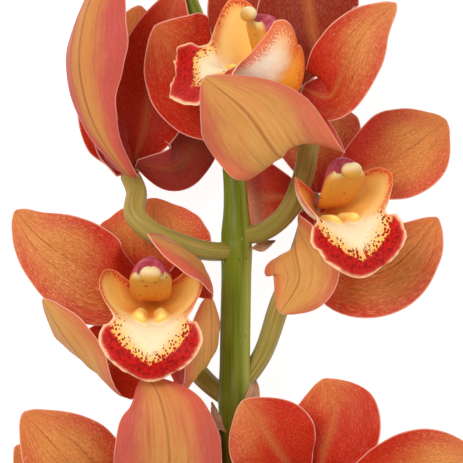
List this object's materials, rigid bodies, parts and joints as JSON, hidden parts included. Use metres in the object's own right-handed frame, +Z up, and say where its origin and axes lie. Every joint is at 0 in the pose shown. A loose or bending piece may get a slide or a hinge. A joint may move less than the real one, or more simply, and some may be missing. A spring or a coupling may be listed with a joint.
{
  "type": "cymbidium orchid stem",
  "caption": "Cut flower stem of a large-flowered cymbidium orchid lying flat: red-orange blooms with cream lips on olive stalks along a green stem with closed buds at its tip.",
  "frame": {"origin": "on the surface the stem lies on, under the middle of the bounding box", "axes": "+Y along the stem from the cut end towards the buds, +X to the right seen from above, +Z up from the surface, the way the open flowers face"},
  "size_m": [0.1564, 0.3912, 0.0825],
  "materials": {
    "petal_red": "satin",
    "lip_cream": "satin",
    "column_pink": "satin",
    "cap_cream": "satin",
    "stalk_olive": "satin",
    "stem_green": "satin",
    "bud_olive": "satin",
    "bract_straw": "matte"
  },
  "bodies": {
    "root": {"stem": "stem_green", "flower_1_sepal_dorsal": "petal_red", "flower_1_petal_left": "petal_red", "flower_1_petal_right": "petal_red", "flower_1_sepal_left": "petal_red", "flower_1_sepal_right": "petal_red", "flower_1_lip": "lip_cream", "flower_1_column": "column_pink", "flower_1_anther_cap": "cap_cream", "flower_1_pedicel": "stalk_olive", "flower_2_sepal_dorsal": "petal_red", "flower_2_petal_left": "petal_red", "flower_2_petal_right": "petal_red", "flower_2_sepal_left": "petal_red", "flower_2_sepal_right": "petal_red", "flower_2_lip": "lip_cream", "flower_2_column": "column_pink", "flower_2_anther_cap": "cap_cream", "flower_2_pedicel": "stalk_olive", "flower_3_sepal_dorsal": "petal_red", "flower_3_petal_left": "petal_red", "flower_3_petal_right": "petal_red", "flower_3_sepal_left": "petal_red", "flower_3_sepal_right": "petal_red", "flower_3_lip": "lip_cream", "flower_3_column": "column_pink", "flower_3_anther_cap": "cap_cream", "flower_3_pedicel": "stalk_olive", "flower_4_sepal_dorsal": "petal_red", "flower_4_petal_left": "petal_red", "flower_4_petal_right": "petal_red", "flower_4_sepal_left": "petal_red", "flower_4_sepal_right": "petal_red", "flower_4_lip": "lip_cream", "flower_4_column": "column_pink", "flower_4_anther_cap": "cap_cream", "flower_4_pedicel": "stalk_olive", "flower_5_sepal_dorsal": "petal_red", "flower_5_petal_left": "petal_red", "flower_5_petal_right": "petal_red", "flower_5_sepal_left": "petal_red", "flower_5_sepal_right": "petal_red", "flower_5_lip": "lip_cream", "flower_5_column": "column_pink", "flower_5_anther_cap": "cap_cream", "flower_5_pedicel": "stalk_olive", "flower_6_sepal_dorsal": "petal_red", "flower_6_petal_left": "petal_red", "flower_6_petal_right": "petal_red", "flower_6_sepal_left": "petal_red", "flower_6_sepal_right": "petal_red", "flower_6_lip": "lip_cream", "flower_6_column": "column_pink", "flower_6_anther_cap": "cap_cream", "flower_6_pedicel": "stalk_olive", "bud_1": "bud_olive", "bud_2": "bud_olive", "bract_1": "bract_straw", "bract_2": "bract_straw", "bract_3": "bract_straw"}
  },
  "joints": []
}
